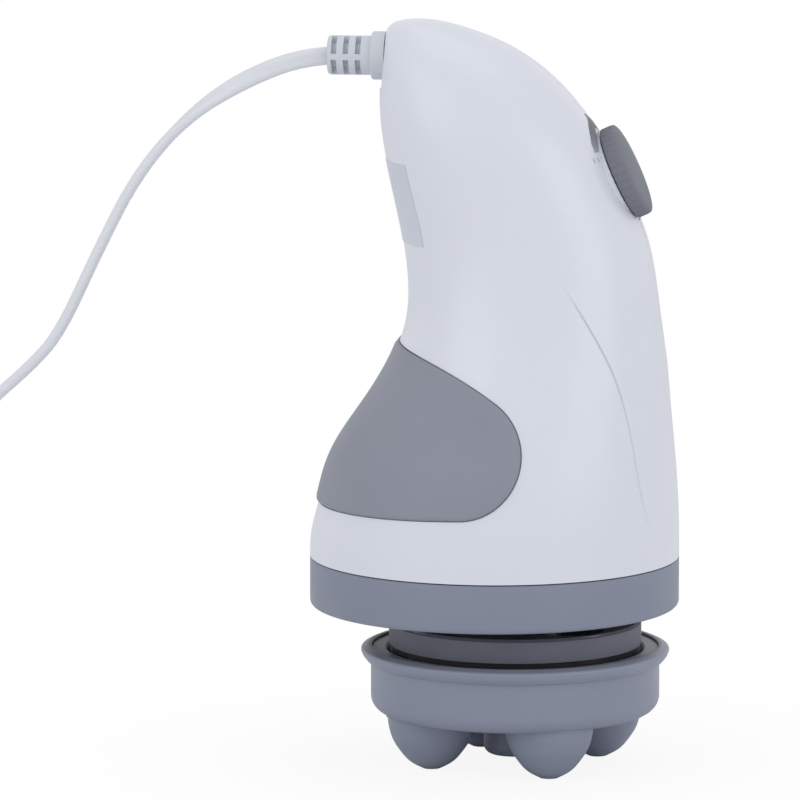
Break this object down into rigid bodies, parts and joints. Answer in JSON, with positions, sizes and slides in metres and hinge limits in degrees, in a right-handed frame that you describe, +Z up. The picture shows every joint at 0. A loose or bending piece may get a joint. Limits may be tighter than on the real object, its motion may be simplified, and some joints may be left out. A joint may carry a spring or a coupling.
{
  "type": "handheld massager",
  "caption": "Mains handheld anti-cellulite massager: domed massage cup that orbits on an eccentric under a grey ring, hand-shaped white casing with grip pad and speed dial",
  "frame": {"origin": "on the motor axis at the floor that the head's domes stand on", "axes": "+Z up along the motor axis, -X the side where the mains cord leaves and the grip pad lies, +X the speed dial's side, the casing splits on the plane Y = 0"},
  "size_m": [0.389, 0.106, 0.2147],
  "materials": {
    "casing_white": "satin moulded ABS",
    "grip_grey": "soft-touch TPE, fine matte",
    "ring_grey": "satin moulded ABS",
    "head_grey": "satin moulded PP",
    "drum_grey": "moulded glass-filled nylon",
    "dial_grey": "moulded ABS, fine ridges",
    "black_nylon": "moulded glass-filled nylon",
    "label_silver": "blank silver film",
    "steel": "ground or zinc-plated steel",
    "bearing_steel": "polished bearing steel",
    "weight_zinc": "die-cast, as cast",
    "lamination_steel": "stacked lamination sheet",
    "copper": "enamelled copper wire",
    "commutator_copper": "turned copper bars",
    "carbon": "pressed carbon",
    "ring_rubber": "moulded nitrile",
    "relief_white": "moulded soft PVC",
    "cord_white": "extruded PVC sheath",
    "plug_white": "moulded PVC",
    "pin_nickel": "nickel-plated brass",
    "board_green": "glass-epoxy board with solder mask",
    "sink_aluminium": "extruded",
    "capacitor_blue": "moulded case",
    "terminal_white": "moulded nylon",
    "pot_metal": "pressed can",
    "pot_shaft_metal": "turned",
    "wire_red": "PVC-insulated wire",
    "clamp_nylon": "moulded nylon"
  },
  "bodies": {
    "casing": {"housing_left": "casing_white", "housing_right": "casing_white", "housing_screws": "steel", "grip_pad": "grip_grey", "rating_label": "label_silver", "base_ring": "ring_grey", "chassis_plate": "black_nylon", "chassis_screws": "steel", "guide_pegs": "steel", "lower_motor_bracket": "black_nylon", "upper_motor_bracket": "black_nylon", "lower_bearing": "bearing_steel", "upper_bearing": "bearing_steel", "motor_bolts": "steel", "motor_stator": "lamination_steel", "field_coils": "copper", "brush_holders": "black_nylon", "carbon_brushes": "carbon", "brush_springs": "steel", "potentiometer": "pot_metal", "potentiometer_nut": "steel", "control_board": "board_green", "heat_sink": "sink_aluminium", "suppression_capacitor": "capacitor_blue", "terminal_block": "terminal_white", "motor_leads": "wire_red", "strain_relief": "relief_white", "inner_lead": "cord_white", "cord_clamp": "clamp_nylon", "clamp_screws": "steel", "cord_lead": "cord_white", "cord_coil": "cord_white", "cord_tail": "cord_white", "plug_body": "plug_white", "plug_pins": "pin_nickel"},
    "rotor": {"motor_shaft": "steel", "armature_core": "lamination_steel", "armature_winding": "copper", "commutator": "commutator_copper", "cooling_fan": "black_nylon", "eccentric": "steel", "grub_screw": "steel", "counterweight": "weight_zinc", "crank_screw": "steel"},
    "orbit_head": {"orbit_drum": "drum_grey", "head_bearing": "bearing_steel", "bearing_clip": "steel", "snap_ring": "ring_rubber"},
    "massage_head": {"massage_cup": "head_grey", "clip_ring": "head_grey"},
    "dial": {"speed_dial": "dial_grey", "dial_shaft": "pot_shaft_metal"}
  },
  "joints": [
    {"name": "motor_spin", "type": "hinge", "parent": "casing", "child": "rotor", "pos_m": [0, 0, 0.09], "axis": [0, 0, 1], "continuous": true},
    {"name": "head_orbit", "type": "hinge", "parent": "rotor", "child": "orbit_head", "pos_m": [0.006, 0, 0.037], "axis": [0, 0, 1], "continuous": true},
    {"name": "head_release", "type": "slide", "parent": "orbit_head", "child": "massage_head", "axis": [0, 0, -1], "range_m": [0, 0.022]},
    {"name": "dial_turn", "type": "hinge", "parent": "casing", "child": "dial", "pos_m": [0.03609, 0, 0.17131], "axis": [0.91, 0, 0.4147], "range_deg": [-270, 0]}
  ],
  "couplings": [
    {"joint": "head_orbit", "follows": "motor_spin", "ratio": -1}
  ]
}
